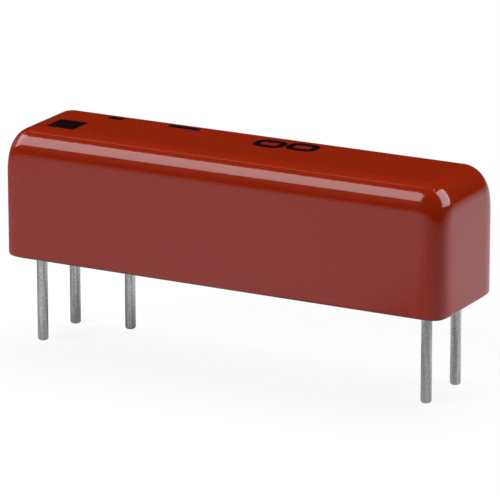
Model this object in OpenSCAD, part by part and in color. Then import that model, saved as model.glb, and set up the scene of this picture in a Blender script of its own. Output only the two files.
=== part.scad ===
// Reed relay in a moulded shell, with five round pins below.
// The origin is the middle of the rim that seats on a board, +X runs along the body, +Z is up.
// The front row of pins is at -Y.

/* [Shell] */
// Length of the shell
shell_l = 28.8; // [28.4:0.1:32]
// Width of the shell
shell_w = 7.2; // [6.8:0.1:9]
// Height of the shell above its rim
shell_h = 7.75; // [7.5:0.05:10]
// Wall thickness
shell_wall = 0.6; // [0.4:0.05:0.7]
// Radius of the upright corners
corner_r = 1; // [0.8:0.1:1.2]
// Radius along the top edges
top_r = 1.6; // [1.3:0.1:2]
// Height over which an upright corner widens into the top radius
corner_blend = 1.4; // [0.6:0.1:2]

/* [Potting] */
// Depth of the resin face inside the rim
potting_recess = 0.15; // [0.05:0.05:0.4]
// Bond line left between the resin and what it holds
bond_gap = 0.02; // [0.01:0.01:0.04]

/* [Pins] */
// Distance between the end pins along the body
pin_span = 25.4; // [25:0.1:26]
// Distance between the front row and the back row
row_gap = 3.81; // [3.6:0.01:4]
// Distance of the shield pin from the end pin beside it
shield_step = 3.81; // [3.6:0.01:4]
// Diameter of a pin where it is tinned, below the rim
pin_d = 0.64; // [0.6:0.01:0.7]
// Thickness of the tin on a pin
tin_t = 0.02; // [0.01:0.005:0.03]
// Length of a pin below the rim
pin_l = 5.4; // [3:0.1:7]
// How much shorter the shield pin is than the others
shield_pin_short = 0.2; // [0:0.05:0.4]
// Radius round the cut end of a pin
pin_tip_r = 0.15; // [0.05:0.01:0.25]
// Radius of the bend in a switch pin, on its middle line
pin_bend_r = 0.6; // [0.5:0.05:0.7]
// How far a switch pin reaches past the middle of the reed lead
pin_toe = 0.35; // [0.3:0.05:0.6]
// How far a coil pin stands above its wound wire
pin_head = 0.25; // [0.15:0.05:0.4]

/* [Bobbin] */
// Height of the coil's middle line above the rim
axis_h = 3.9; // [3.8:0.05:4.1]
// Bore of the bobbin
bore_d = 2.7; // [2.6:0.05:2.8]
// Wall of the bobbin's barrel
barrel_wall = 0.3; // [0.2:0.05:0.4]
// Thickness of a flange
flange_t = 0.7; // [0.4:0.05:0.9]
// Width of the flanges and the feet
flange_w = 5.2; // [5:0.05:5.4]
// Height of a flange
flange_h = 5.8; // [5.4:0.05:6]
// Radius of a flange's corners
flange_r = 1.6; // [1.4:0.05:1.8]
// Underside of the feet above the rim
foot_base = 0.6; // [0.4:0.05:0.8]
// Height of a foot
foot_h = 1.6; // [1.2:0.05:1.7]
// How far a foot reaches past its end pins
foot_over = 0.9; // [0.6:0.05:1]
// Radius of the feet's outer corners
foot_r = 1.5; // [1.4:0.05:1.8]
// Radial clearance of a pin in its foot
pin_fit = 0.02; // [0.01:0.01:0.05]

/* [Coil] */
// Length of the winding
winding_l = 17.6; // [16:0.1:18]
// Outer diameter of the winding
winding_d = 4.9; // [4.6:0.05:5]
// Thickness of the tape round the winding
tape_t = 0.06; // [0.04:0.01:0.1]
// Diameter of the wire taken to the coil pins
end_wire_d = 0.12; // [0.1:0.01:0.16]
// Turns of that wire round a coil pin
wrap_turns = 4; // [2:1:5]
// Height of the wire above the rim
wrap_h = 3.2; // [3.1:0.05:3.4]
// Width of the notch that lets the wire through a flange
notch_w = 0.3; // [0.2:0.02:0.4]

/* [Shield] */
// Thickness of the shield foil
foil_t = 0.08; // [0.05:0.01:0.1]
// Clearance between the shield and the bobbin's bore
foil_fit = 0.05; // [0.03:0.01:0.08]
// Slit along the top of the shield
foil_slit = 0.3; // [0.2:0.05:0.6]
// How far the shield reaches past the middle of the shield pin
foil_over = 0.4; // [0.4:0.05:0.8]
// Width of the tab that goes to the shield pin
tab_w = 0.8; // [0.7:0.05:0.8]
// How far the tab reaches past the middle of the shield pin
tab_over = 0.32; // [0.32:0.01:0.5]

/* [Reed switch] */
// Diameter of the glass capsule
capsule_d = 2.2; // [2:0.05:2.3]
// Length of the glass capsule
capsule_l = 14; // [13:0.1:15]
// Wall of the glass
glass_t = 0.3; // [0.25:0.01:0.35]
// Length of glass sealed on each lead
seal_l = 1.6; // [1.2:0.05:1.8]
// Diameter of a lead
lead_d = 0.5; // [0.4:0.01:0.55]
// How far a lead reaches past the middle of its pin
lead_over = 0.4; // [0.4:0.05:0.6]
// Radial clearance of a lead in its seal
seal_fit = 0.01; // [0.005:0.005:0.02]
// Width of a reed blade
blade_w = 1; // [0.8:0.05:1.1]
// Width of a blade at its bending neck
neck_w = 0.8; // [0.6:0.05:0.8]
// Thickness of a blade
blade_t = 0.2; // [0.15:0.01:0.22]
// Distance from the inner end of the seal to the bending neck
neck_in = 0.5; // [0.5:0.05:0.7]
// Length of the narrow neck on the blade
neck_l = 0.8; // [0.5:0.05:1.2]
// Length over which the blades overlap
contact_lap = 0.8; // [0.6:0.05:1]
// Gap between the open contacts
contact_gap = 0.15; // [0.15:0.01:0.2]
// Length of lead flattened on the blade's side of the seal
flat_l = 0.2; // [0.1:0.05:0.4]
// Gap at the neck, where the blade bends
neck_gap = 0.02; // [0.02:0.01:0.04]

/* [Joints] */
// Gap filled by solder between a lead and its pin
solder_gap = 0.03; // [0.02:0.01:0.05]
// Radius of a weld between a lead and its pin
weld_r = 0.42; // [0.38:0.01:0.45]
// Height of the solder at the other pins
solder_h = 0.14; // [0.1:0.01:0.15]

/* [Print] */
// Thickness of the ink
ink_t = 0.02; // [0.01:0.005:0.04]
// Length of the pin one mark
mark_l = 1.85; // [1:0.05:2]
// Width of the pin one mark
mark_w = 1.7; // [1:0.1:1.8]
// Distance of the pin one mark from the left end of the body
mark_inset = 2; // [2:0.1:4]
// Distance of the middle of the pin one mark from the body's middle line
mark_front = 0.85; // [0.4:0.05:1]
// Length of one ring
ring_l = 1.95; // [1.6:0.05:2]
// Width of one ring across the body
ring_w = 1.5; // [1.3:0.05:1.7]
// Stroke of the rings and bars
stroke = 0.42; // [0.3:0.02:0.5]
// Outer radius of a ring's corners
ring_r = 0.6; // [0.52:0.02:0.64]
// Middle of the first ring along the body
ring_x = 1.15; // [0.5:0.05:3]
// Middle of the first ring across the body
ring_y = 0.85; // [0.4:0.05:1]
// Distance of the second ring along the body
ring_step = 2.05; // [2.02:0.01:2.4]
// How far the second ring lies to the back of the first
ring_rise = 0.2; // [0:0.05:0.4]
// Length of the short bar
bar_short = 1; // [0.6:0.1:1.6]
// Middle of the short bar along the body
bar_short_x = -9.6; // [-10:0.1:-8]
// Length of the long bar
bar_long = 2; // [1.6:0.1:3.4]
// Middle of the long bar along the body
bar_long_x = -5; // [-6:0.1:-2]
// Distance of both bars behind the body's middle line
bar_y = 1.7; // [1:0.05:1.9]

/* [Hidden] */
$fn = 64;
// Sides used where round pieces are blended together
blend_fn = 32;
// Amount by which joined solids run into each other
lap = 0.1;

// Shell
skirt_h = shell_h - top_r - corner_blend;
cavity_r = top_r - shell_wall;
cavity_l = shell_l - 2 * shell_wall;
cavity_w = shell_w - 2 * shell_wall;
cavity_h = shell_h - shell_wall;

// Pins
pin_x = pin_span / 2;
row_y = row_gap / 2;
shield_x = -pin_x + shield_step;
core_r = pin_d / 2 - tin_t;
toe_h = axis_h - lead_d / 2 - solder_gap - core_r;

// Bobbin and coil, centred midway between the shield pin and the right end pins
coil_x = shield_step / 2;
winding_left = coil_x - winding_l / 2;
winding_right = coil_x + winding_l / 2;
flange_left = winding_left - flange_t;
flange_right = winding_right + flange_t;
foot_end = pin_x + foot_over;
foot_top = foot_base + foot_h;
barrel_r = bore_d / 2 + barrel_wall;
tape_r = winding_d / 2 + tape_t;
wire_r = end_wire_d / 2;
wrap_r = core_r + wire_r + bond_gap;
wrap_pitch = 0.9 * end_wire_d;
wrap_low = wrap_h - (wrap_turns - 1) * wrap_pitch;
coil_pin_top = wrap_h + pin_head;
wire_y = row_y + wrap_r + wire_r / 2;
collar_r = wrap_r + wire_r;

// Shield
foil_r = bore_d / 2 - foil_fit;
foil_left = shield_x - foil_over;
tab_h = axis_h - foil_r;

// Reed switch
seal_x = capsule_l / 2 - seal_l;
neck_x = seal_x - neck_in;
round_end = neck_x + flat_l;
blade_z = (contact_gap + blade_t) / 2;

module rounded_rect(l, w, r) {
    square([l, w - 2 * r], center = true);
    square([l - 2 * r, w], center = true);
    for (sx = [-1, 1], sy = [-1, 1])
        translate([sx * (l / 2 - r), sy * (w / 2 - r)])
            circle(r);
}

// Upright section with square lower corners and round upper ones
module top_section(w, h, r) {
    translate([-w / 2, 0])
        square([w, h - r]);
    translate([-w / 2 + r, 0])
        square([w - 2 * r, h]);
    for (s = [-1, 1])
        translate([s * (w / 2 - r), h - r])
            circle(r);
}

module along_x(l) {
    rotate([90, 0, 90])
        linear_extrude(l, center = true)
            children();
}

module along_y(l) {
    rotate([90, 0, 0])
        linear_extrude(l, center = true)
            children();
}

module rod_x(x1, x2, r) {
    translate([x1, 0, 0])
        rotate([0, 90, 0])
            cylinder(r = r, h = x2 - x1);
}

// Ball whose poles and equator lie exactly on its radius
module corner_ball(r) {
    rotate_extrude($fn = blend_fn)
        intersection() {
            circle(r, $fn = blend_fn);
            translate([0, -r])
                square([r, 2 * r]);
        }
}

// One top corner, where the small upright radius grows into the large top radius
module corner_patch(sx, sy) {
    upright = top_r - corner_r;
    scale([sx, sy, 1])
        translate([shell_l / 2 - top_r, shell_w / 2 - top_r, skirt_h - lap])
            hull() {
                translate([upright, upright, 0])
                    cylinder(r = corner_r, h = lap, $fn = blend_fn);
                cube([upright, top_r, lap]);
                cube([top_r, upright, lap]);
                translate([0, 0, corner_blend + lap])
                    corner_ball(top_r);
            }
}

module shell_outside() {
    base = skirt_h / 2;
    linear_extrude(skirt_h)
        rounded_rect(shell_l, shell_w, corner_r);
    translate([0, 0, base])
        along_x(shell_l - 2 * top_r)
            top_section(shell_w, shell_h - base, top_r);
    translate([0, 0, base])
        along_y(shell_w - 2 * top_r)
            top_section(shell_l, shell_h - base, top_r);
    for (sx = [-1, 1], sy = [-1, 1])
        corner_patch(sx, sy);
}

// The hollow of the shell from a given height up to its roof
module cavity(base) {
    translate([0, 0, base]) {
        along_x(cavity_l - 2 * cavity_r)
            top_section(cavity_w, cavity_h - base, cavity_r);
        along_y(cavity_w - 2 * cavity_r)
            top_section(cavity_l, cavity_h - base, cavity_r);
        for (sx = [-1, 1], sy = [-1, 1])
            translate([sx * (cavity_l / 2 - cavity_r), sy * (cavity_w / 2 - cavity_r), 0]) {
                cylinder(r = cavity_r, h = cavity_h - base - cavity_r);
                translate([0, 0, cavity_h - base - cavity_r])
                    sphere(cavity_r);
            }
    }
}

module shell() {
    color([0.66, 0.17, 0.1])
        difference() {
            shell_outside();
            cavity(-lap);
        }
}

// Straight core of a pin inside the relay, made wider by grow
module pin_core(x, y, top, grow = 0) {
    translate([x, y, 0])
        cylinder(r = core_r + grow, h = top);
}

// Tinned length below the rim, with its cut end rounded
module pin_tail(x, y, l) {
    r = pin_d / 2;
    translate([x, y, -l + pin_tip_r])
        cylinder(r = r, h = l - pin_tip_r);
    translate([x, y, -l + pin_tip_r])
        rotate_extrude() {
            translate([0, -pin_tip_r])
                square([r - pin_tip_r, pin_tip_r]);
            intersection() {
                translate([r - pin_tip_r, 0])
                    circle(pin_tip_r);
                translate([0, -pin_tip_r])
                    square([r, pin_tip_r]);
            }
        }
}

// Bent core of a switch pin: up, round the bend and under the reed lead
module bent_core(x, grow = 0) {
    r = core_r + grow;
    translate([x, -row_y, 0])
        cylinder(r = r, h = toe_h - pin_bend_r);
    translate([x, -row_y + pin_bend_r, toe_h - pin_bend_r])
        rotate([90, 0, 90])
            rotate([0, 0, 90])
                rotate_extrude(angle = 90)
                    translate([pin_bend_r, 0])
                        circle(r);
    translate([x, -row_y + pin_bend_r, toe_h])
        rotate([-90, 0, 0])
            cylinder(r = r, h = row_y - pin_bend_r + pin_toe + grow);
}

module switch_pin(x) {
    color([0.72, 0.72, 0.69]) {
        bent_core(x);
        pin_tail(x, -row_y, pin_l);
    }
}

module coil_pin(x) {
    color([0.72, 0.72, 0.69]) {
        pin_core(x, row_y, coil_pin_top);
        pin_tail(x, row_y, pin_l);
    }
}

module left_switch_pin() {
    switch_pin(-pin_x);
}

module right_switch_pin() {
    switch_pin(pin_x);
}

module left_coil_pin() {
    coil_pin(-pin_x);
}

module right_coil_pin() {
    coil_pin(pin_x);
}

// The shield pin stands under the tab of the shield
module shield_pin() {
    color([0.72, 0.72, 0.69]) {
        pin_core(shield_x, row_y, tab_h);
        pin_tail(shield_x, row_y, pin_l - shield_pin_short);
    }
}

module flange_plate(x, grow = 0) {
    translate([x + flange_t / 2, 0, axis_h])
        rotate([90, 0, 90])
            linear_extrude(flange_t + 2 * grow, center = true)
                rounded_rect(flange_w + 2 * grow, flange_h + 2 * grow, flange_r + grow);
}

// Foot at one end of the bobbin, from the winding out past the pins
module foot_block(x_in, side, grow = 0) {
    reach = foot_end - x_in + 2 * grow;
    translate([0, 0, foot_base - grow])
        linear_extrude(foot_h + 2 * grow)
            intersection() {
                rounded_rect(2 * (foot_end + grow), flange_w + 2 * grow, foot_r + grow);
                scale([side, 1])
                    translate([x_in - grow, -flange_w])
                        square([reach, 2 * flange_w]);
            }
}

// Flanges and feet without their holes
module bobbin_ends(grow = 0) {
    flange_plate(flange_left, grow);
    flange_plate(winding_right, grow);
    foot_block(-winding_left, -1, grow);
    foot_block(winding_right, 1, grow);
}

module bobbin() {
    color([0.12, 0.12, 0.13])
        difference() {
            union() {
                bobbin_ends();
                translate([0, 0, axis_h])
                    rod_x(flange_left, flange_right, barrel_r);
            }
            translate([0, 0, axis_h])
                rod_x(flange_left - lap, flange_right + lap, bore_d / 2);
            for (x = [-pin_x, pin_x], y = [-row_y, row_y])
                pin_core(x, y, foot_top + lap, pin_fit);
            pin_core(shield_x, row_y, foot_top + lap, pin_fit);
            for (x = [flange_left, winding_right])
                translate([x - lap, wire_y - notch_w / 2, wrap_h - notch_w / 2])
                    cube([flange_t + 2 * lap, flange_w, notch_w]);
        }
}

module coil_winding() {
    color([0.72, 0.42, 0.22])
        translate([0, 0, axis_h])
            difference() {
                rod_x(winding_left, winding_right, winding_d / 2);
                rod_x(winding_left - lap, winding_right + lap, barrel_r);
            }
}

module coil_tape() {
    color([0.85, 0.75, 0.3])
        translate([0, 0, axis_h])
            difference() {
                rod_x(winding_left, winding_right, tape_r);
                rod_x(winding_left - lap, winding_right + lap, winding_d / 2);
            }
}

// Foil tube that reaches out to the shield pin, slit so that it isn't a shorted turn
module electrostatic_shield() {
    color([0.8, 0.6, 0.25])
        union() {
            translate([0, 0, axis_h])
                difference() {
                    rod_x(foil_left, winding_right, foil_r);
                    rod_x(foil_left - lap, winding_right + lap, foil_r - foil_t);
                    translate([foil_left - lap, -foil_slit / 2, 0])
                        cube([winding_right - foil_left + 2 * lap, foil_slit, foil_r + lap]);
                }
            translate([shield_x - tab_w / 2, 0, tab_h])
                cube([tab_w, row_y + tab_over, foil_t]);
        }
}

// Tube of glass closed round each lead
module glass_capsule() {
    r = capsule_d / 2;
    hollow_r = r - glass_t;
    color([0.7, 0.85, 0.8, 0.4])
        translate([coil_x, 0, axis_h])
            difference() {
                union() {
                    rod_x(-capsule_l / 2 + r, capsule_l / 2 - r, r);
                    for (s = [-1, 1])
                        translate([s * (capsule_l / 2 - r), 0, 0])
                            sphere(r);
                }
                rod_x(-seal_x + hollow_r, seal_x - hollow_r, hollow_r);
                for (s = [-1, 1])
                    translate([s * (seal_x - hollow_r), 0, 0])
                        sphere(hollow_r);
                rod_x(-capsule_l / 2 - lap, capsule_l / 2 + lap, lead_d / 2 + seal_fit);
            }
}

// Lead drawn for the left side, with the blade end towards +X and the blade below the axis
module reed_lead(outer_end) {
    color([0.75, 0.73, 0.68])
        union() {
            rod_x(-outer_end, -round_end, lead_d / 2);
            translate([-round_end - lap, -neck_w / 2, -blade_z - blade_t / 2])
                cube([flat_l + lap - neck_gap / 2, neck_w, blade_t]);
        }
}

// Blade drawn for the left side: a narrow neck, then the full width, then round corners
module reed_blade() {
    tip = contact_lap / 2;
    tip_r = blade_w * 0.3;
    wide = tip + neck_x - neck_l;
    color([0.83, 0.82, 0.78])
        translate([0, 0, -blade_z - blade_t / 2])
            linear_extrude(blade_t)
                union() {
                    translate([-neck_x + neck_gap / 2, -neck_w / 2])
                        square([neck_l + lap, neck_w]);
                    translate([tip - wide / 2, 0])
                        rounded_rect(wide, blade_w, tip_r);
                }
}

module left_reed_lead() {
    translate([coil_x, 0, axis_h])
        reed_lead(pin_x + lead_over + coil_x);
}

module right_reed_lead() {
    translate([coil_x, 0, axis_h])
        rotate([0, 180, 0])
            reed_lead(pin_x + lead_over - coil_x);
}

module left_reed_blade() {
    translate([coil_x, 0, axis_h])
        reed_blade();
}

module right_reed_blade() {
    translate([coil_x, 0, axis_h])
        rotate([0, 180, 0])
            reed_blade();
}

// Wire from the winding through a flange's notch, wound round a coil pin
module end_wire(x_coil, x_pin) {
    color([0.75, 0.4, 0.2])
        union() {
            translate([0, wire_y, wrap_h])
                rod_x(min(x_coil, x_pin), max(x_coil, x_pin), wire_r);
            for (i = [0:wrap_turns - 1])
                translate([x_pin, row_y, wrap_h - i * wrap_pitch])
                    rotate_extrude()
                        translate([wrap_r, 0])
                            circle(wire_r);
        }
}

module coil_start_wire() {
    end_wire(winding_left, -pin_x);
}

module coil_end_wire() {
    end_wire(winding_right, pin_x);
}

// Weld in the crossing of a reed lead and the toe of its pin
module weld(x, grow = 0) {
    translate([x, 0, axis_h - lead_d / 2 - solder_gap / 2])
        sphere(weld_r + grow);
}

// Ring of solder round a pin
module solder_ring(x, base, h) {
    translate([x, row_y, base])
        difference() {
            cylinder(r1 = collar_r, r2 = core_r + bond_gap, h = h);
            translate([0, 0, -lap])
                cylinder(r = core_r, h = h + 2 * lap);
        }
}

module solder_joints() {
    color([0.78, 0.78, 0.78]) {
        for (x = [-pin_x, pin_x]) {
            difference() {
                weld(x);
                translate([0, 0, axis_h])
                    rod_x(x - weld_r - lap, x + weld_r + lap, lead_d / 2);
                bent_core(x);
            }
            solder_ring(x, wrap_h + wire_r, solder_h);
        }
        solder_ring(shield_x, tab_h - solder_h, solder_h);
    }
}

// What the resin flows round, a bond line larger than the pieces
module embedded() {
    g = bond_gap;
    bobbin_ends(g);
    translate([0, 0, axis_h]) {
        rod_x(winding_left - lap, winding_right + lap, tape_r + g);
        rod_x(foil_left - g, flange_left + lap, foil_r + g);
        rod_x(-pin_x - lead_over - g, foil_left + lap, lead_d / 2 + g);
        rod_x(flange_right - lap, pin_x + lead_over + g, lead_d / 2 + g);
    }
    for (x = [-pin_x, pin_x]) {
        bent_core(x, g);
        pin_core(x, row_y, coil_pin_top + g, g);
        weld(x, g);
        translate([x, row_y, wrap_low - wire_r - g])
            cylinder(r = collar_r + g, h = wrap_h - wrap_low + 2 * wire_r + solder_h + 2 * g);
    }
    pin_core(shield_x, row_y, tab_h, g);
    translate([shield_x, row_y, tab_h - solder_h - g])
        cylinder(r = collar_r + g, h = solder_h + 2 * g);
    translate([shield_x - tab_w / 2 - g, 0, tab_h - g])
        cube([tab_w + 2 * g, row_y + tab_over + g, foil_t + 2 * g]);
    translate([0, wire_y, wrap_h]) {
        rod_x(-pin_x, flange_left + lap, wire_r + g);
        rod_x(flange_right - lap, pin_x, wire_r + g);
    }
}

module potting() {
    color([0.2, 0.06, 0.05])
        difference() {
            cavity(potting_recess);
            embedded();
        }
}

// Film of ink that lies on the top and runs down its front and back curves
module ink_film() {
    along_x(shell_l - 2 * top_r)
        difference() {
            top_section(shell_w + 2 * ink_t, shell_h + ink_t, top_r + ink_t);
            top_section(shell_w, shell_h, top_r);
        }
}

module printed() {
    color([0.05, 0.05, 0.05])
        intersection() {
            ink_film();
            translate([0, 0, shell_h - top_r])
                linear_extrude(top_r + lap)
                    children();
        }
}

module pin_one_mark() {
    printed()
        translate([-shell_l / 2 + mark_inset, -mark_front - mark_w / 2])
            square([mark_l, mark_w]);
}

// Rounded ring in the plane of the print
module ring_mark(x, y) {
    translate([x, y])
        difference() {
            rounded_rect(ring_l, ring_w, ring_r);
            rounded_rect(ring_l - 2 * stroke, ring_w - 2 * stroke, ring_r - stroke);
        }
}

module print_marks() {
    printed() {
        ring_mark(ring_x, ring_y);
        ring_mark(ring_x + ring_step, ring_y + ring_rise);
        translate([bar_short_x, bar_y])
            square([bar_short, stroke], center = true);
        translate([bar_long_x, bar_y])
            square([bar_long, stroke], center = true);
    }
}

shell();
potting();
bobbin();
coil_winding();
coil_tape();
electrostatic_shield();
glass_capsule();
left_reed_lead();
right_reed_lead();
left_reed_blade();
right_reed_blade();
left_switch_pin();
right_switch_pin();
left_coil_pin();
right_coil_pin();
shield_pin();
coil_start_wire();
coil_end_wire();
solder_joints();
pin_one_mark();
print_marks();
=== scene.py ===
# %% [markdown]
# # Dressing a reed relay
# The relay is a slim red moulded box that stands on five round pins. The CAD model already holds every
# solid in its right place. This lesson adds what the solids lack: a smooth skin for the shell, a finish
# for each material, a floor, soft lamps and a camera.
# Every length below is in metres, in the CAD model's own frame, so nothing has to be fitted.

# %% Load the CAD model as a fixed frame
import math

import bmesh
import bpy
from mathutils import Matrix, Vector


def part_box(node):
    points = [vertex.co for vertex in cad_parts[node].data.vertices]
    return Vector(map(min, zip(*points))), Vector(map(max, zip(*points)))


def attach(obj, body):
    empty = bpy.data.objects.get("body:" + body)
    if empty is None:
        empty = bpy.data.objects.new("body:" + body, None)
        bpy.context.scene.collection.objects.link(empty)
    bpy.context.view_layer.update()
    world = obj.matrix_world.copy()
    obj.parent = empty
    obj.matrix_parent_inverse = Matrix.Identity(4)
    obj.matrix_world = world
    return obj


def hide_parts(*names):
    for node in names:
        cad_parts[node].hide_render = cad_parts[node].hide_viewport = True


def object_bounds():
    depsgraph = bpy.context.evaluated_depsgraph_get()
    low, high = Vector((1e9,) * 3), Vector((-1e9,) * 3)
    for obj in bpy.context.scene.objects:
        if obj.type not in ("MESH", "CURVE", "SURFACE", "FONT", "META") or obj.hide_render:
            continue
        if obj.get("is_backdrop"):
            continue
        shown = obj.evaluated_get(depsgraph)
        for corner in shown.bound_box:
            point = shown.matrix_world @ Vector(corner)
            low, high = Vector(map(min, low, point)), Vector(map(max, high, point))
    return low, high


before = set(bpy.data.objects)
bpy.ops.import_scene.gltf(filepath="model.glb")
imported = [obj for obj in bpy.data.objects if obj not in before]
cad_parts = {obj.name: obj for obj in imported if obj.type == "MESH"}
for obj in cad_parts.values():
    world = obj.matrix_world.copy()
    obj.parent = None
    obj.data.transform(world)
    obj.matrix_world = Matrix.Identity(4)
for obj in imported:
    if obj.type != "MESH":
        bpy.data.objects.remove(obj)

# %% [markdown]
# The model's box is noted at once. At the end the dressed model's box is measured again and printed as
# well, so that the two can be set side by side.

mm = 0.001
cad_low, cad_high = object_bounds()
print("CAD box in mm:", [round(side / mm, 2) for side in cad_high - cad_low])
print("nodes:", sorted(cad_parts))

# %% [markdown]
# ## The shell
# The real shell is one moulding of hard red plastic. Its upright corners are small, and its top edges are
# much rounder, so at each top corner the small radius grows into the large one. The CAD solid has flat
# facets there, and a glossy surface shows every facet. So the shell is made again with the same sizes,
# with finer steps.
# A box whose edges are rounded by one bevel has perfect ball corners, so the start is a box that is
# rounded with the large radius everywhere.

# %% A box with rounded upright and top edges, open below
shell_low, shell_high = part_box("shell")
shell_length, shell_width, shell_height = shell_high - shell_low
top_radius = 1.6 * mm
corner_steps = 24
# Lengths that differ by less than this count as equal
hair = 1e-7


def rounded_box(length, width, height, radius):
    bm = bmesh.new()
    corners = bmesh.ops.create_cube(bm, size=1.0)["verts"]
    bmesh.ops.scale(bm, vec=(length, width, height), verts=corners)
    bmesh.ops.translate(bm, vec=(0, 0, height / 2), verts=corners)
    rounded = [edge for edge in bm.edges if max(vert.co.z for vert in edge.verts) > height / 2]
    bmesh.ops.bevel(bm, geom=rounded, offset=radius, offset_type="OFFSET", segments=corner_steps,
                    profile=0.5, affect="EDGES", material=-1, clamp_overlap=False)
    bottom = [face for face in bm.faces if all(abs(vert.co.z) < hair for vert in face.verts)]
    bmesh.ops.delete(bm, geom=bottom, context="FACES")
    return bm


skin = rounded_box(shell_length, shell_width, shell_height, top_radius)
print("outer skin:", len(skin.verts), "vertices")

# %% [markdown]
# The upright corners of this box are still as round as its top. Lower down the real corner is fuller: it
# reaches as far out as a 1 mm radius does. How far a corner stands in, measured along its diagonal, follows
# one smooth rise from the upright part to the ball. The rise is a cubic that starts upright and ends with
# the ball's own slope, so no crease shows at either end.

# %% How round a corner is at each height
corner_radius = 1.0 * mm
ball_height = shell_height - top_radius
blend_low = ball_height - 1.4 * mm
blend_high = ball_height + 0.58 * top_radius
# A round corner stands in along its diagonal by this share of its radius
diagonal = math.sqrt(2) - 1


def cut_back(height):
    above = max(0.0, height - ball_height)
    return top_radius - math.sqrt(top_radius ** 2 - above ** 2)


def radius_at(height):
    if height <= blend_low:
        return corner_radius
    if height >= blend_high:
        return top_radius - cut_back(height)
    above = blend_high - ball_height
    end_slope = above / math.sqrt(top_radius ** 2 - above ** 2)
    start, end = diagonal * corner_radius, diagonal * top_radius + cut_back(blend_high)
    span = blend_high - blend_low
    t = (height - blend_low) / span
    inset = (start * (2 * t ** 3 - 3 * t ** 2 + 1) + end * (3 * t ** 2 - 2 * t ** 3)
             + end_slope * span * (t ** 3 - t ** 2))
    return (inset - math.sqrt(2) * cut_back(height)) / diagonal


print("corner radius in mm at the rim, at the ball's height and above:",
      [round(radius_at(height) / mm, 2) for height in (0, ball_height, blend_high)])

# %% [markdown]
# The two faces don't end at a line, but turn in gently before the corner, as a moulding does that shrank a
# little. So each corner follows a curve that is pulled out by two handles, and the handles' length sets how
# full it is. They are as long as it takes for the curve's middle to lie where a round corner has its own,
# and where the radius is the top's, the curve is the ball's own circle.
# The skin is cut at a few heights by planes, and the points of each corner move out to the curve.

# %% Cut the skin and tighten its upright corners
blend_cuts = 14
# Points this close to a cut are taken as lying on it
cut_snap = 1e-8
for cut in range(blend_cuts + 1):
    height = blend_low + (blend_high - blend_low) * cut / blend_cuts
    bmesh.ops.bisect_plane(skin, geom=skin.verts[:] + skin.edges[:] + skin.faces[:], dist=cut_snap,
                           plane_co=(0, 0, height), plane_no=(0, 0, 1))


def corner_curve(share, start, radius):
    handle = (4 * start - 8 * (1 - math.sqrt(0.5)) * radius) / 3
    rest, pull = 1 - share, 3 * (start - handle) * share * (1 - share)
    return start * rest ** 3 + pull * rest, start * share ** 3 + pull * share


for vert in skin.verts:
    out_x = abs(vert.co.x) - (shell_length / 2 - top_radius)
    out_y = abs(vert.co.y) - (shell_width / 2 - top_radius)
    if vert.co.z < blend_high - hair and out_x > -hair and out_y > -hair:
        inward = cut_back(vert.co.z)
        share = math.atan2(max(out_x, 0), max(out_y, 0)) / (math.pi / 2)
        in_x, in_y = corner_curve(share, top_radius - inward, radius_at(vert.co.z))
        vert.co.x = math.copysign(shell_length / 2 - inward - in_x, vert.co.x)
        vert.co.y = math.copysign(shell_width / 2 - inward - in_y, vert.co.y)
print("skin after the cuts:", len(skin.verts), "vertices")

# %% [markdown]
# The shell is hollow, and the relay's inside sits in the hollow. The hollow is the same kind of rounded box,
# one wall smaller and turned inside out.

# %% Add the hollow to the skin
wall = 0.6 * mm
hollow_length, hollow_width = shell_length - 2 * wall, shell_width - 2 * wall
hollow = rounded_box(hollow_length, hollow_width, shell_height - wall, top_radius - wall)
bmesh.ops.reverse_faces(hollow, faces=hollow.faces[:])
hollow_mesh = bpy.data.meshes.new("hollow")
hollow.to_mesh(hollow_mesh)
hollow.free()
skin.from_mesh(hollow_mesh)
bpy.data.meshes.remove(hollow_mesh)
print("skin and hollow:", len(skin.verts), "vertices")

# %% [markdown]
# Both boxes are open below and have the same number of points round their openings, so bridging the two
# loops closes the rim. A mould leaves no perfectly sharp edge, so the rim's outer edge gets a tiny rounding.

# %% Close the rim and soften its outer edge
rim_rounding = 0.2 * mm
rim_steps = 4


def on_outer_loop(edge):
    return any(abs(vert.co.x) > (hollow_length + wall) / 2 or abs(vert.co.y) > (hollow_width + wall) / 2
               for vert in edge.verts)


open_edges = [edge for edge in skin.edges if edge.is_boundary]
rim = bmesh.ops.bridge_loops(skin, edges=open_edges)["faces"]
outer_rim = [edge for edge in open_edges if on_outer_loop(edge)]
bmesh.ops.bevel(skin, geom=outer_rim, offset=rim_rounding, offset_type="OFFSET", segments=rim_steps,
                profile=0.5, affect="EDGES", material=-1, clamp_overlap=False)
bmesh.ops.recalc_face_normals(skin, faces=skin.faces[:])
print("rim faces:", len(rim), "open edges left:", sum(edge.is_boundary for edge in skin.edges))

# %% [markdown]
# A finished mesh becomes an object that rides on a CAD body, takes the finish it is given and, where it
# stands for a CAD node, hides that node. Weighted normals keep the big flat faces flat in reflections,
# while the rounded strips between them shade smoothly.

# %% Turn meshes into pieces of the relay
def new_object(bm, name):
    mesh = bpy.data.meshes.new(name)
    bm.to_mesh(mesh)
    bm.free()
    made = bpy.data.objects.new(name, mesh)
    bpy.context.scene.collection.objects.link(made)
    return made


def finish_piece(bm, name, body, material, sharp_degrees=40, replaces=()):
    piece = new_object(bm, name)
    piece.data.shade_smooth()
    piece.data.set_sharp_from_angle(angle=math.radians(sharp_degrees))
    flat = piece.modifiers.new("flat faces stay flat", "WEIGHTED_NORMAL")
    flat.keep_sharp = True
    flat.weight = 100
    piece.data.materials.append(material)
    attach(piece, body)
    if replaces:
        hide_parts(*replaces)
    print(name, "has", len(piece.data.polygons), "faces")


# %% [markdown]
# ## Finishes
# Each finish starts from Blender's principled shader. Colours are written as a picture shows them, from 0
# to 255, and turned into the linear values that the shader expects.

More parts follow.
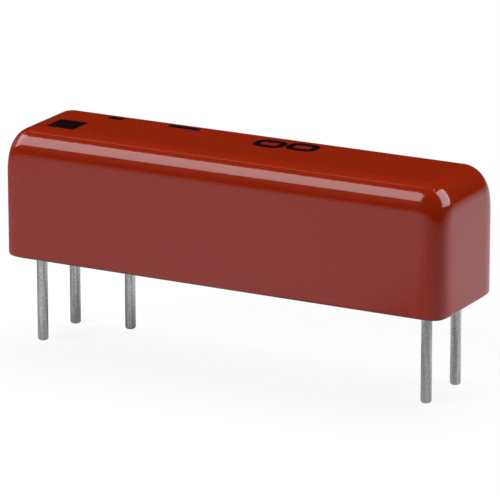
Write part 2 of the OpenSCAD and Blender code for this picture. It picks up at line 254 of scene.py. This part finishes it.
# %% Start a finish
def srgb(red, green, blue):
    def linear(value):
        value /= 255
        return value / 12.92 if value <= 0.04045 else ((value + 0.055) / 1.055) ** 2.4
    return (linear(red), linear(green), linear(blue), 1)


def grey(value):
    return (value, value, value, 1)


def new_finish(name, colour, roughness, metallic=0.0):
    material = bpy.data.materials.new(name)
    material.use_nodes = True
    shader = material.node_tree.nodes["Principled BSDF"]
    shader.inputs["Base Color"].default_value = colour
    shader.inputs["Roughness"].default_value = roughness
    shader.inputs["Metallic"].default_value = metallic
    return material, shader


# %% [markdown]
# Patterns are made of nodes. Materials, and later the world too, own a tree of nodes, so the helpers below
# take such an owner. A value that goes into a socket is either a number or another node's output.
# Patterns read Object coordinates, which are metres here, so a noise's scale is the number of its features
# in a metre.

# %% Helpers that make nodes
def feed(owner, value, socket):
    if isinstance(value, bpy.types.NodeSocket):
        owner.node_tree.links.new(value, socket)
    else:
        socket.default_value = value


def position(owner, move=(0, 0, 0), stretch=(1, 1, 1)):
    place = owner.node_tree.nodes.new("ShaderNodeTexCoord")
    moved = owner.node_tree.nodes.new("ShaderNodeMapping")
    feed(owner, place.outputs["Object"], moved.inputs["Vector"])
    feed(owner, move, moved.inputs["Location"])
    feed(owner, stretch, moved.inputs["Scale"])
    return moved.outputs["Vector"]


def noise(owner, feature, stretch=(1, 1, 1), detail=3.0):
    pattern = owner.node_tree.nodes.new("ShaderNodeTexNoise")
    feed(owner, position(owner, stretch=stretch), pattern.inputs["Vector"])
    feed(owner, 1 / feature, pattern.inputs["Scale"])
    feed(owner, detail, pattern.inputs["Detail"])
    return pattern.outputs["Fac"]


def ramp(owner, value, stops):
    scale = owner.node_tree.nodes.new("ShaderNodeValToRGB")
    while len(scale.color_ramp.elements) < len(stops):
        scale.color_ramp.elements.new(0.5)
    for element, (place, colour) in zip(scale.color_ramp.elements, stops):
        element.position = place
        element.color = colour
    feed(owner, value, scale.inputs["Fac"])
    return scale.outputs["Color"]


def calculate(owner, operation, first, second=0.0):
    step = owner.node_tree.nodes.new("ShaderNodeMath")
    step.operation = operation
    feed(owner, first, step.inputs[0])
    feed(owner, second, step.inputs[1])
    return step.outputs["Value"]


def mix_colours(owner, share, first, second):
    mix = owner.node_tree.nodes.new("ShaderNodeMix")
    mix.data_type = "RGBA"
    # A Mix node has two inputs and an output for every kind of data, and these numbers are the colours'
    feed(owner, share, mix.inputs["Factor"])
    feed(owner, first, mix.inputs[6])
    feed(owner, second, mix.inputs[7])
    return mix.outputs[2]


# %% [markdown]
# A pattern can drive three things: the colour, the roughness and the relief. A noise's values lie mostly
# between 0.3 and 0.7, so a ramp between those two gives it the full range of two colours or two roughnesses.
# A relief that is added to a shader which has one already is laid over the first.

# %% Helpers that let a pattern drive a finish
def colour_by(material, shader, value, first, second, low=0.3, high=0.7):
    feed(material, ramp(material, value, [(low, first), (high, second)]), shader.inputs["Base Color"])


def roughness_by(material, shader, value, smooth, rough, low=0.3, high=0.7):
    stops = [(low, grey(smooth)), (high, grey(rough))]
    feed(material, ramp(material, value, stops), shader.inputs["Roughness"])


def bump(material, shader, value, depth):
    relief = material.node_tree.nodes.new("ShaderNodeBump")
    feed(material, 1.0, relief.inputs["Strength"])
    feed(material, depth, relief.inputs["Distance"])
    feed(material, value, relief.inputs["Height"])
    if shader.inputs["Normal"].is_linked:
        feed(material, shader.inputs["Normal"].links[0].from_socket, relief.inputs["Normal"])
    feed(material, relief.outputs["Normal"], shader.inputs["Normal"])


# %% [markdown]
# The shell's plastic is a hard moulding compound with a clear gloss. Seen closely its colour is slightly
# uneven, and its surface has a very shallow orange peel and a fine grain, which make the edges of the
# highlights waver. Two bumps of different sizes do that, far too shallow to see as shapes.

# %% Red moulded plastic
red_plastic, red_shader = new_finish("red moulded plastic", srgb(153, 38, 9), 0.1)
body_red = ramp(red_plastic, noise(red_plastic, 0.12 * mm, detail=4),
                [(0.3, srgb(147, 34, 8)), (0.7, srgb(160, 42, 11))])
roughness_by(red_plastic, red_shader, noise(red_plastic, 0.25 * mm), 0.08, 0.12)
bump(red_plastic, red_shader, noise(red_plastic, 0.7 * mm, detail=1), 0.004 * mm)
bump(red_plastic, red_shader, noise(red_plastic, 0.08 * mm, detail=2), 0.0009 * mm)

# %% [markdown]
# Little light gets under the lip at the rim, so it lies in shade and looks almost brown. That shade is
# painted into the colour, which follows the height there.

# %% Painted shade on the lip, and the shell's piece
lip_low, lip_high = 0.04 * mm, 0.14 * mm
# Painted shade: the lip's dark colour stands for the shade under the rim
painted_lip_shade = srgb(60, 22, 12)
height_split = red_plastic.node_tree.nodes.new("ShaderNodeSeparateXYZ")
above_lip_shade = red_plastic.node_tree.nodes.new("ShaderNodeMapRange")
feed(red_plastic, position(red_plastic), height_split.inputs["Vector"])
feed(red_plastic, height_split.outputs["Z"], above_lip_shade.inputs["Value"])
feed(red_plastic, lip_low, above_lip_shade.inputs["From Min"])
feed(red_plastic, lip_high, above_lip_shade.inputs["From Max"])
# The red turns into the painted lip shade towards the rim
red_with_painted_lip_shade = mix_colours(red_plastic, above_lip_shade.outputs["Result"], painted_lip_shade, body_red)
feed(red_plastic, red_with_painted_lip_shade, red_shader.inputs["Base Color"])

finish_piece(skin, "shell_skin", "relay", red_plastic, replaces=["shell"])

# %% [markdown]
# The other finishes go on CAD nodes, whose shapes are right as they are. A helper puts a finish on a list
# of nodes in place of the plain one that came with the model.

# %% Give CAD nodes their finish
def dress(material, *names):
    for name in names:
        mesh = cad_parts[name].data
        mesh.materials.clear()
        mesh.materials.append(material)
    print(material.name, "on", ", ".join(names))


# %% [markdown]
# The pins are drawn wire with a coat of tin. Tin looks grey and dull, with a fine, uneven grain. Lighter and
# darker stripes run along the wire: partly draw lines, partly painted reflections of an uneven ground, put
# into the colour. The stripes come from a noise that is stretched a lot along the pins, the grain from a
# finer one that is hardly stretched. The mean of the two gives the colour, and two shallow bumps roughen the
# surface.

# %% Tinned wire
switch_pins = ["left_switch_pin", "right_switch_pin"]
back_pins = ["left_coil_pin", "right_coil_pin", "shield_pin"]

tin, tin_shader = new_finish("tinned wire", srgb(188, 188, 179), 0.3, metallic=1.0)
# Stripes along the wire: partly draw lines, partly painted reflections
draw_lines_and_painted_reflections = noise(tin, 0.17 * mm, stretch=(1, 1, 0.05), detail=1)
tin_grain = noise(tin, 0.07 * mm, stretch=(1, 1, 0.6), detail=2)
tin_grain_and_painted_reflections = calculate(tin, "MULTIPLY", calculate(tin, "ADD", draw_lines_and_painted_reflections, tin_grain), 0.5)
# The mean of two noises stays closer to the middle than one noise does
colour_by(tin, tin_shader, tin_grain_and_painted_reflections, srgb(156, 156, 148), srgb(214, 214, 204), low=0.36, high=0.64)
roughness_by(tin, tin_shader, noise(tin, 0.2 * mm), 0.22, 0.32)
bump(tin, tin_shader, noise(tin, 0.12 * mm, stretch=(1, 1, 0.12)), 0.005 * mm)
bump(tin, tin_shader, noise(tin, 0.09 * mm, detail=2), 0.004 * mm)
dress(tin, *switch_pins, *back_pins)

# %% [markdown]
# The underside is filled with casting resin. It is dark, a little glossy, and not quite flat, because it
# shrank as it set.

# %% Casting resin
resin, resin_shader = new_finish("casting resin", srgb(70, 26, 22), 0.35)
colour_by(resin, resin_shader, noise(resin, 1.5 * mm, detail=4), srgb(60, 21, 18), srgb(82, 31, 26))
bump(resin, resin_shader, noise(resin, 2.0 * mm, detail=2), 0.05 * mm)
dress(resin, "potting")

# %% [markdown]
# Resin climbs a little way along whatever stands in it. Each pin gets such a collar: a hollow-curved profile
# is spun round the pin's middle line. It starts on the resin's face, a little inside the rim, and ends on
# the pin just before the rim's plane, so the relay still seats flat.

# %% Resin collars round the pins
resin_depth = 0.15 * mm
row_gap = 3.81 * mm
pin_radius = 0.3 * mm
collar_reach = 0.32 * mm
collar_end = 0.02 * mm
collar_steps = 6
collar_sides = 32

pin_places = []
for pin in switch_pins + back_pins:
    low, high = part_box(pin)
    side = -1 if pin in switch_pins else 1
    pin_places.append(((low.x + high.x) / 2, side * row_gap / 2))

collars = bmesh.new()
for x, y in pin_places:
    profile = []
    for step in range(collar_steps + 1):
        angle = math.pi / 2 * step / collar_steps
        out = pin_radius + collar_reach * (1 - math.sin(angle))
        height = resin_depth - (resin_depth - collar_end) * (1 - math.cos(angle))
        profile.append(collars.verts.new((x + out, y, height)))
    edges = [collars.edges.new(pair) for pair in zip(profile, profile[1:])]
    bmesh.ops.spin(collars, geom=profile + edges, cent=(x, y, 0), axis=(0, 0, 1), angle=2 * math.pi,
                   steps=collar_sides, use_merge=True, use_duplicate=False)
bmesh.ops.remove_doubles(collars, verts=collars.verts[:], dist=hair)
bmesh.ops.recalc_face_normals(collars, faces=collars.faces[:])
print("collars at, in mm:", [(round(x / mm, 2), round(y / mm, 2)) for x, y in pin_places])
finish_piece(collars, "resin_collars", "relay", resin)

# %% [markdown]
# The print is black ink, slightly purple in the light, with a dull face.

# %% Black ink
ink, ink_shader = new_finish("black ink", srgb(14, 6, 11), 0.5)
colour_by(ink, ink_shader, noise(ink, 0.2 * mm, detail=4), srgb(10, 4, 8), srgb(24, 9, 14), high=0.75)
bump(ink, ink_shader, noise(ink, 0.15 * mm), 0.004 * mm)
ink_shader.inputs["Specular IOR Level"].default_value = 0.05
dress(ink, "pin_one_mark", "print_marks")

# %% [markdown]
# ## Finishes of the hidden pieces
# The coil, its bobbin and the switch are sealed in, but they are dressed too, for anyone who cuts the
# relay open. The winding shows its turns: a wave pattern makes bands along the coil, one band to a turn.

# %% Winding and its wires
turn_width = 0.12 * mm
# A wave pattern of scale 1 runs through this many radians in a metre
wave_radians = 20
copper, copper_shader = new_finish("enamelled copper", srgb(190, 112, 62), 0.3, metallic=1.0)
colour_by(copper, copper_shader, noise(copper, 0.6 * mm, stretch=(3, 1, 1)), srgb(176, 98, 52),
          srgb(204, 126, 74))
turns = copper.node_tree.nodes.new("ShaderNodeTexWave")
turns.wave_type = "BANDS"
turns.bands_direction = "X"
feed(copper, position(copper), turns.inputs["Vector"])
feed(copper, 2 * math.pi / (wave_radians * turn_width), turns.inputs["Scale"])
bump(copper, copper_shader, turns.outputs["Fac"], 0.02 * mm)
dress(copper, "coil_winding", "coil_start_wire", "coil_end_wire")

# %% [markdown]
# The tape round the winding is thin, yellow and smooth, and it wrinkles a little along the coil.

# %% Tape
tape, tape_shader = new_finish("polyester tape", srgb(214, 184, 84), 0.25)
colour_by(tape, tape_shader, noise(tape, 1.2 * mm, stretch=(0.4, 1, 1)), srgb(206, 174, 72),
          srgb(222, 194, 98))
bump(tape, tape_shader, noise(tape, 0.8 * mm, stretch=(0.3, 1, 1)), 0.02 * mm)
dress(tape, "coil_tape")

# %% [markdown]
# The bobbin is black plastic with glass fibre in it, so it is dull and faintly streaked. The shield is thin
# rolled foil, which has fine lines along the way it was rolled.

# %% Bobbin and foil
bobbin_black, bobbin_shader = new_finish("black bobbin plastic", srgb(34, 34, 36), 0.55)
colour_by(bobbin_black, bobbin_shader, noise(bobbin_black, 0.4 * mm, stretch=(0.3, 1, 1)),
          srgb(30, 30, 32), srgb(42, 42, 44))
bump(bobbin_black, bobbin_shader, noise(bobbin_black, 0.1 * mm), 0.006 * mm)
dress(bobbin_black, "bobbin")

foil, foil_shader = new_finish("rolled foil", srgb(206, 160, 98), 0.28, metallic=1.0)
colour_by(foil, foil_shader, noise(foil, 0.8 * mm), srgb(196, 150, 90), srgb(214, 170, 108))
bump(foil, foil_shader, noise(foil, 0.05 * mm, stretch=(0.03, 1, 1)), 0.004 * mm)
dress(foil, "electrostatic_shield")

# %% [markdown]
# The reed switch is a tube of clear, slightly green glass round two flat blades.

# %% Glass
glass, glass_shader = new_finish("reed switch glass", srgb(214, 236, 226), 0.03)
glass_shader.inputs["Transmission Weight"].default_value = 1.0
glass_shader.inputs["IOR"].default_value = 1.5
bump(glass, glass_shader, noise(glass, 1.5 * mm, detail=1), 0.01 * mm)
dress(glass, "glass_capsule")

# %% [markdown]
# The leads and blades are a nickel-iron alloy. Only the tips, where the blades meet, are plated with a
# yellower metal, so the colour follows the distance from the middle of the glass tube.

# %% Reed alloy with plated tips
capsule_low, capsule_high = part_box("glass_capsule")
switch_middle = (capsule_low.x + capsule_high.x) / 2
plated_to, bare_from = 1.2 * mm, 1.44 * mm
ramp_reach = 4 * mm

reed, reed_shader = new_finish("reed alloy", srgb(196, 190, 178), 0.3, metallic=1.0)
along = reed.node_tree.nodes.new("ShaderNodeSeparateXYZ")
feed(reed, position(reed, move=(-switch_middle, 0, 0)), along.inputs["Vector"])
from_middle = calculate(reed, "ABSOLUTE", along.outputs["X"])
colour_by(reed, reed_shader, calculate(reed, "DIVIDE", from_middle, ramp_reach),
          srgb(222, 190, 118), srgb(196, 190, 178), low=plated_to / ramp_reach, high=bare_from / ramp_reach)
bump(reed, reed_shader, noise(reed, 0.06 * mm, stretch=(0.1, 1, 1)), 0.004 * mm)
dress(reed, "left_reed_lead", "right_reed_lead", "left_reed_blade", "right_reed_blade")
print("middle of the switch at x, in mm:", round(switch_middle / mm, 3))

# %% [markdown]
# Solder is a smooth grey metal, a little lighter than the tin on the pins.

# %% Solder
solder, solder_shader = new_finish("solder", srgb(196, 196, 196), 0.3, metallic=1.0)
colour_by(solder, solder_shader, noise(solder, 0.2 * mm), srgb(184, 184, 184), srgb(208, 208, 210))
bump(solder, solder_shader, noise(solder, 0.25 * mm), 0.02 * mm)
dress(solder, "solder_joints")

# %% [markdown]
# ## Floor
# The relay stands on its pins' tips on a wide, flat floor, which is part of the stage and not of the relay.

# %% Floor at the pins' tips
floor_level = cad_low.z
floor_half = 3.0
floor_bm = bmesh.new()
bmesh.ops.create_grid(floor_bm, x_segments=1, y_segments=1, size=floor_half)
bmesh.ops.translate(floor_bm, vec=(0, 0, floor_level), verts=floor_bm.verts[:])
floor = new_object(floor_bm, "floor")
floor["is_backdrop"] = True
print("floor at", round(floor_level / mm, 2), "mm")

# %% [markdown]
# The shell mirrors the ground, and the photo shows in it that the ground wasn't equally bright all round.
# It was dark towards the front right, where the near upright corner mirrors it, darker to the left too, and
# it fades with the distance. A gradient that goes once round the relay gives the directions, the length of a
# point's coordinates gives the distance, and a ramp turns each into a brightness.

# %% How bright the mirrored ground is
paper = bpy.data.materials.new("white paper ground")
paper.use_nodes = True
paper_nodes = paper.node_tree.nodes
paper_nodes.clear()

# Degrees from straight in front, towards the right end, and how bright the ground is there
brightness_round = [(-90, 0.38), (-80, 0.50), (-70, 0.63), (-60, 0.76), (-50, 0.84), (-36, 0.90),
                    (-22, 0.90), (-12, 0.83), (1, 0.78), (6, 0.60), (11, 0.40), (16, 0.36), (24, 0.36),
                    (40, 0.40), (60, 0.47), (80, 0.54), (96, 0.60), (108, 0.68), (120, 0.86),
                    (130, 0.98), (140, 1.03), (190, 0.93), (230, 0.45), (255, 0.20), (270, 0.38)]
# Shares of the ground's reach, and how bright the ground is there
brightness_away = [(0.1, 0.97), (0.2, 0.88), (0.25, 0.83), (0.3, 0.65), (0.64, 0.40), (1.0, 0.2)]
ground_reach = 200 * mm

around = paper_nodes.new("ShaderNodeTexGradient")
around.gradient_type = "RADIAL"
away = paper_nodes.new("ShaderNodeVectorMath")
away.operation = "LENGTH"
feed(paper, position(paper), around.inputs["Vector"])
feed(paper, position(paper), away.inputs[0])
away_share = calculate(paper, "DIVIDE", away.outputs["Value"], ground_reach)
# The gradient starts a quarter turn before straight in front
round_level = ramp(paper, around.outputs["Fac"],
                   [(degrees / 360 + 0.25, grey(level)) for degrees, level in brightness_round])
away_level = ramp(paper, away_share, [(share, grey(level)) for share, level in brightness_away])
mirrored_level = calculate(paper, "MULTIPLY", round_level, away_level)
print("ground seen in", len(brightness_round), "directions and at", len(brightness_away), "distances")

# %% [markdown]
# The photo's ground is plain white. A lamp bright enough to turn a floor white would bleach the relay, so
# the floor is partly a light of its own for the camera, for reflections and through glass, and an ordinary
# pale surface for everything else. It still shows the relay's soft shadow.
# What the shell mirrors is a little bluer than the white that the camera sees.

# %% White floor
def seen_directly(owner):
    rays = owner.node_tree.nodes.new("ShaderNodeLightPath")
    return calculate(owner, "MAXIMUM", rays.outputs["Is Camera Ray"], rays.outputs["Is Transmission Ray"])


paper_grey = grey(0.55)
plain_white = grey(1.0)
mirrored_white = (0.97, 0.99, 1.10, 1)
glow_strength = 1.12
glow_share = 0.8

direct = seen_directly(paper)
rays = paper_nodes.new("ShaderNodeLightPath")
glow_level = calculate(paper, "MAXIMUM", mirrored_level, direct)
glow = paper_nodes.new("ShaderNodeEmission")
feed(paper, mix_colours(paper, direct, mirrored_white, plain_white), glow.inputs["Color"])
feed(paper, calculate(paper, "MULTIPLY", glow_level, glow_strength), glow.inputs["Strength"])
surface = paper_nodes.new("ShaderNodeBsdfDiffuse")
feed(paper, paper_grey, surface.inputs["Color"])
seen_or_mirrored = calculate(paper, "MAXIMUM", direct, rays.outputs["Is Glossy Ray"])
paper_mix = paper_nodes.new("ShaderNodeMixShader")
feed(paper, calculate(paper, "MULTIPLY", seen_or_mirrored, glow_share), paper_mix.inputs["Fac"])
feed(paper, surface.outputs["BSDF"], paper_mix.inputs[1])
feed(paper, glow.outputs["Emission"], paper_mix.inputs[2])
paper_out = paper_nodes.new("ShaderNodeOutputMaterial")
feed(paper, paper_mix.outputs["Shader"], paper_out.inputs["Surface"])
floor.data.materials.append(paper)
print("nodes in the floor's material:", len(paper_nodes))

# %% [markdown]
# ## Light
# The photo shows its lamps as reflections on the rounded edges. A long bright strip runs along the front
# top edge, so a wide soft box hangs in front, to the left, a little turned. A short streak and a tiny dot
# sit on the near top corner, so a second soft box and a small lamp stand behind, to the right. A thin line
# above the strip comes from a faint slit high up, and a faint glow on the left end from a pale wall.
# A lamp's power is worked out from how bright its face is, so that its size can change by itself.

# %% Soft boxes that the shell mirrors
relay_middle = Vector((0, 0, 4 * mm))
lamp_distance = 0.5
mirrored_tint = (0.97, 1.0, 1.04)
plain_tint = (1.0, 1.0, 1.0)


def soft_box(name, azimuth, elevation, roll, width, height, radiance, reflected):
    turn, lift = math.radians(azimuth), math.radians(elevation)
    towards = Vector((math.sin(turn) * math.cos(lift), -math.cos(turn) * math.cos(lift), math.sin(lift)))
    lamp = bpy.data.lights.new(name, "AREA")
    lamp.shape = "RECTANGLE"
    lamp.size, lamp.size_y = width, height
    lamp.energy = radiance * math.pi * width * height
    lamp.color = mirrored_tint if reflected else plain_tint
    box = bpy.data.objects.new(name, lamp)
    box.location = relay_middle + towards * lamp_distance
    facing = towards.to_track_quat("Z", "Y").to_matrix() @ Matrix.Rotation(math.radians(roll), 3, "Z")
    box.rotation_euler = facing.to_euler()
    box.visible_camera = False
    box.visible_glossy = reflected
    box.visible_diffuse = not reflected
    bpy.context.scene.collection.objects.link(box)
    print(name, "at, in mm:", [round(value / mm) for value in box.location])


# Degrees from straight in front towards the right end, degrees up, roll, width and height in metres, and
# how bright the face is
soft_box("front_left_box", -64.7, 43.3, 31.1, 0.67, 0.30, 4.25, reflected=True)
soft_box("right_box", 122.4, 37, -28, 0.40, 0.42, 4.9, reflected=True)
soft_box("small_lamp", 144, 71, 0, 0.04, 0.04, 4.0, reflected=True)
soft_box("high_slit", -117, 57, 0, 0.03, 0.20, 0.7, reflected=True)
soft_box("left_wall", -104, 22, 0, 0.20, 0.30, 0.4, reflected=True)

# %% [markdown]
# The plain surfaces are lit almost evenly, with no lamp to be seen in them. So those boxes only show as
# reflections, and three large soft lamps, which aren't reflected, give the general light. Their directions
# come from how red the faces look that are turned each way.
# Everything else round the relay is dark, which is why the curved edges look so deep in colour between
# their highlights. The camera, though, sees the same white behind the relay as on the far floor, so that
# no horizon shows in a low view.

# %% General light and dark studio
soft_box("general_left", -36, 32, 0, 0.25, 0.30, 7.1, reflected=False)
soft_box("general_right", 121, 14, 0, 0.40, 0.20, 5.4, reflected=False)
soft_box("general_back", -170, 71, 0, 0.40, 0.30, 4.8, reflected=False)

studio_dark = grey(0.005)
far_white = grey(glow_share * glow_strength)
studio = bpy.data.worlds.new("dark studio")
studio.use_nodes = True
background = studio.node_tree.nodes["Background"]
feed(studio, mix_colours(studio, seen_directly(studio), studio_dark, far_white), background.inputs["Color"])
feed(studio, 1.0, background.inputs["Strength"])
bpy.context.scene.world = studio
print("lamps:", len(bpy.data.lights))

# %% [markdown]
# ## Camera
# The camera was found by matching the relay's outline in the photo: it looks from the front right, about
# 16 degrees down, through a long lens from a short distance. Its three axes are built from the azimuth,
# the elevation and a small roll.

# %% Camera at the photo's viewing angle
azimuth, elevation, roll = math.radians(28.376), math.radians(16.408), math.radians(-0.107)
# Where the relay's origin lies in the view: right of the middle, above it, and away from the camera
origin_right, origin_up, origin_away = -0.243 * mm, -1.355 * mm, 268.042 * mm
focal_pixels, picture_pixels = 4595.3473, 500

back = Vector((math.sin(azimuth) * math.cos(elevation), -math.cos(azimuth) * math.cos(elevation),
               math.sin(elevation)))
right = Vector((math.cos(azimuth), math.sin(azimuth), 0))
up = back.cross(right)
rolled_right = right * math.cos(roll) + up * math.sin(roll)
rolled_up = up * math.cos(roll) - right * math.sin(roll)
camera_place = back * origin_away - rolled_right * origin_right - rolled_up * origin_up
camera_axes = Matrix((rolled_right, rolled_up, back)).transposed().to_4x4()

camera_data = bpy.data.cameras.new("camera")
camera_data.sensor_width = 36.0
camera_data.lens = focal_pixels / picture_pixels * camera_data.sensor_width
camera_data.clip_start = 0.01
camera_data.clip_end = 10.0
camera = bpy.data.objects.new("camera", camera_data)
camera.matrix_world = Matrix.Translation(camera_place) @ camera_axes
bpy.context.scene.collection.objects.link(camera)
bpy.context.scene.camera = camera
bpy.context.scene.view_settings.view_transform = "Standard"
print("camera at, in mm:", [round(value / mm, 1) for value in camera_place])

# %% Write the dressed box and finish
low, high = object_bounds()
print("dressed box in mm:", [round(side / mm, 2) for side in high - low])
